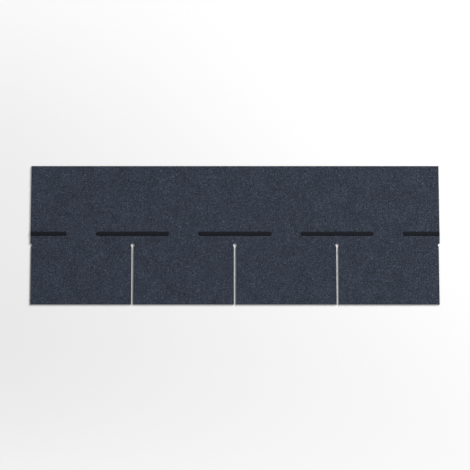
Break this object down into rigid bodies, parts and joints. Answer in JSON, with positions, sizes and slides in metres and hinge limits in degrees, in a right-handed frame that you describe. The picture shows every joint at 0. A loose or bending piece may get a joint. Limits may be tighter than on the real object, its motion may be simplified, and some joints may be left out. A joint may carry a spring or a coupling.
{
  "type": "asphalt strip shingle",
  "caption": "Flat asphalt strip shingle with square tabs parted by keyhole slots, a granule face and self-seal adhesive dashes, laid in lapped courses to cover a pitched roof.",
  "frame": {"origin": "middle of the back face, on the surface that the strip lies on", "axes": "+X along the course, +Y from the butt edge of the tabs up to the top edge, +Z out of the granule face"},
  "size_m": [1, 0.34, 0.0038],
  "materials": {
    "granule_face": "matte",
    "seal_adhesive": "satin"
  },
  "bodies": {
    "root": {"shingle_sheet": "granule_face", "seal_dash_1": "seal_adhesive", "seal_dash_2": "seal_adhesive", "seal_dash_3": "seal_adhesive", "seal_dash_4": "seal_adhesive", "seal_dash_5": "seal_adhesive"}
  },
  "joints": []
}
